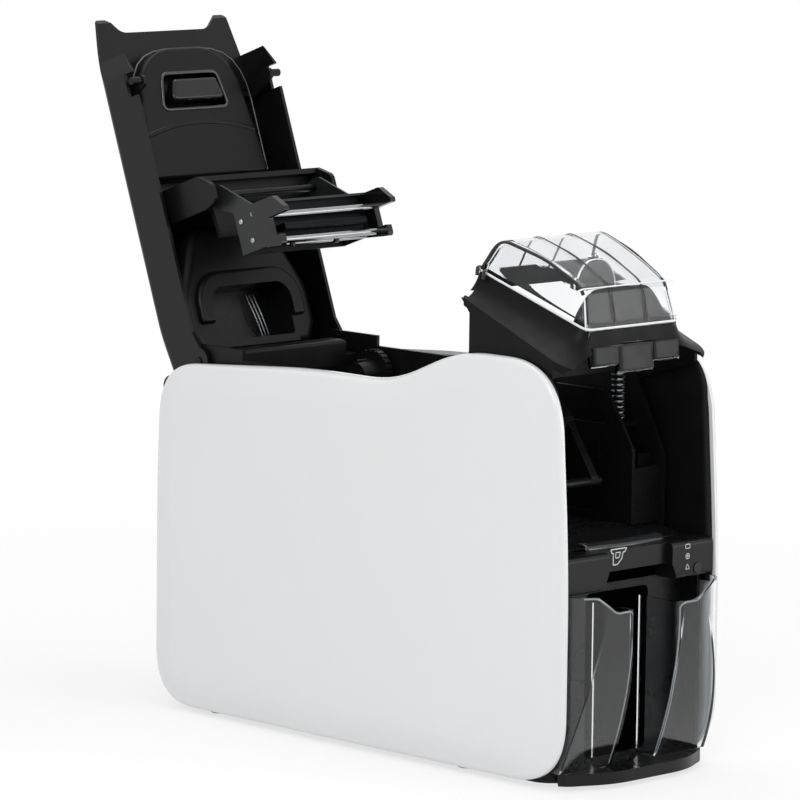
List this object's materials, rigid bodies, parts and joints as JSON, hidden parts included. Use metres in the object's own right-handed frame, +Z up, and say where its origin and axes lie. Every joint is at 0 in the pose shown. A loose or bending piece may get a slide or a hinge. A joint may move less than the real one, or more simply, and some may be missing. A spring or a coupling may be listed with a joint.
{
  "type": "card printer",
  "caption": "Desktop identity card printer with white side panels and black body, large top cover swung open with print head, clear feeder cover raised, clear output bins at the front",
  "frame": {"origin": "Middle of the footprint on the plane under the rubber feet: X = 0 half way between the side panels, Y = 0 a little behind mid length, Z = 0 at the feet", "axes": "+X to the right-hand side panel as seen from the front, +Y to the rear, +Z up; the front faces -Y"},
  "size_m": [0.158, 0.469, 0.453],
  "materials": {
    "white_gloss": "gloss",
    "black_gloss": "gloss",
    "black_matte": "satin",
    "clear": "gloss",
    "rubber": "matte",
    "steel": "satin",
    "chrome": "gloss",
    "alu": "satin",
    "gear_nylon": "satin",
    "board_green": "satin",
    "motor_dark": "satin"
  },
  "bodies": {
    "body": {"right_side_panel": "white_gloss", "left_side_panel": "white_gloss", "chassis_wall_right": "black_matte", "chassis_wall_left": "black_matte", "base_tray": "black_matte", "rubber_feet": "rubber", "rear_cover": "black_matte", "power_inlet": "black_matte", "data_socket": "steel", "main_board": "board_green", "hinge_pins": "steel", "rear_hood": "black_matte", "feeder_pins": "steel", "top_deck": "black_matte", "card_bed": "black_matte", "feed_chute": "black_matte", "hopper_guides": "black_matte", "pressure_arm_pin": "steel", "feeder_spring": "steel", "guide_strip": "steel", "idler_axle": "steel", "drive_motor": "motor_dark", "pick_motor": "motor_dark", "front_bezel": "black_gloss", "bin_window_right": "clear", "bin_window_left": "clear", "output_base": "black_gloss"},
    "lid": {"lid_shell": "black_gloss", "lid_liner": "black_matte", "arch_frame": "black_matte", "head_bracket": "black_matte", "carriage_pivot_pin": "steel"},
    "head": {"head_carriage": "alu", "print_head": "alu", "head_end_caps": "black_matte", "guide_rods": "chrome"},
    "latch": {"latch_hooks": "black_matte", "release_handle": "black_matte", "latch_shaft": "steel"},
    "feeder": {"feeder_frame": "black_gloss", "feeder_window": "clear", "feeder_grip": "clear"},
    "arm": {"pressure_arm": "black_matte"},
    "idler": {"idler_gear": "gear_nylon"},
    "platen": {"platen_shaft": "steel", "platen_roller": "rubber", "platen_gear": "gear_nylon"},
    "feed": {"feed_shaft": "steel", "feed_roller": "rubber", "feed_gear": "gear_nylon"},
    "rotor": {"motor_pinion": "gear_nylon", "motor_shaft": "steel"},
    "pick": {"pick_shaft": "steel", "pick_roller": "rubber", "pick_gear": "gear_nylon"},
    "pick_rotor": {"pick_pinion": "gear_nylon", "pick_motor_shaft": "steel"},
    "supply_hub": {"ribbon_supply_hub": "black_matte"},
    "takeup_hub": {"ribbon_takeup_hub": "black_matte"},
    "button": {"power_button": "black_matte"}
  },
  "joints": [
    {"name": "lid_hinge", "type": "hinge", "parent": "body", "child": "lid", "pos_m": [0, 0.151, 0.235], "axis": [1, 0, 0], "range_deg": [0, 110]},
    {"name": "head_pivot", "type": "hinge", "parent": "lid", "child": "head", "pos_m": [0, 0.15838, 0.34299], "axis": [1, 0, 0], "range_deg": [0, 2], "stiffness_Nm_per_rad": 8, "springref_deg": -2.86},
    {"name": "latch_turn", "type": "hinge", "parent": "lid", "child": "latch", "pos_m": [0, 0.23648, 0.3997], "axis": [1, 0, 0], "range_deg": [0, 14], "stiffness_Nm_per_rad": 0.12, "springref_deg": -11.46},
    {"name": "feeder_hinge", "type": "hinge", "parent": "body", "child": "feeder", "pos_m": [0, -0.03, 0.22], "axis": [1, 0, 0], "range_deg": [0, 40]},
    {"name": "arm_pivot", "type": "hinge", "parent": "body", "child": "arm", "pos_m": [0, -0.084, 0.246], "axis": [1, 0, 0], "range_deg": [-18, 0], "stiffness_Nm_per_rad": 0.05, "springref_deg": 5.73},
    {"name": "idler_turn", "type": "hinge", "parent": "body", "child": "idler", "pos_m": [0, 0.046, 0.1182], "axis": [1, 0, 0], "continuous": true},
    {"name": "platen_turn", "type": "hinge", "parent": "body", "child": "platen", "pos_m": [0, 0.082, 0.1452], "axis": [1, 0, 0], "continuous": true},
    {"name": "feed_turn", "type": "hinge", "parent": "body", "child": "feed", "pos_m": [0, 0.01, 0.1452], "axis": [1, 0, 0], "continuous": true},
    {"name": "motor_turn", "type": "hinge", "parent": "body", "child": "rotor", "pos_m": [0, 0.046, 0.0807], "axis": [1, 0, 0], "continuous": true},
    {"name": "pick_turn", "type": "hinge", "parent": "body", "child": "pick", "pos_m": [0, -0.1, 0.1452], "axis": [1, 0, 0], "continuous": true},
    {"name": "pick_motor_turn", "type": "hinge", "parent": "body", "child": "pick_rotor", "pos_m": [0, -0.1, 0.1272], "axis": [1, 0, 0], "continuous": true},
    {"name": "supply_turn", "type": "hinge", "parent": "body", "child": "supply_hub", "pos_m": [0, 0.108, 0.221], "axis": [1, 0, 0], "continuous": true},
    {"name": "takeup_turn", "type": "hinge", "parent": "body", "child": "takeup_hub", "pos_m": [0, 0.006, 0.219], "axis": [1, 0, 0], "continuous": true},
    {"name": "button_press", "type": "slide", "parent": "body", "child": "button", "axis": [0, 1, 0], "range_m": [0, 0.0008], "stiffness_N_per_m": 900, "springref_m": -0.0008}
  ],
  "couplings": [
    {"joint": "platen_turn", "follows": "idler_turn", "ratio": -2},
    {"joint": "feed_turn", "follows": "idler_turn", "ratio": -2},
    {"joint": "motor_turn", "follows": "idler_turn", "ratio": -4},
    {"joint": "pick_motor_turn", "follows": "pick_turn", "ratio": -2}
  ]
}
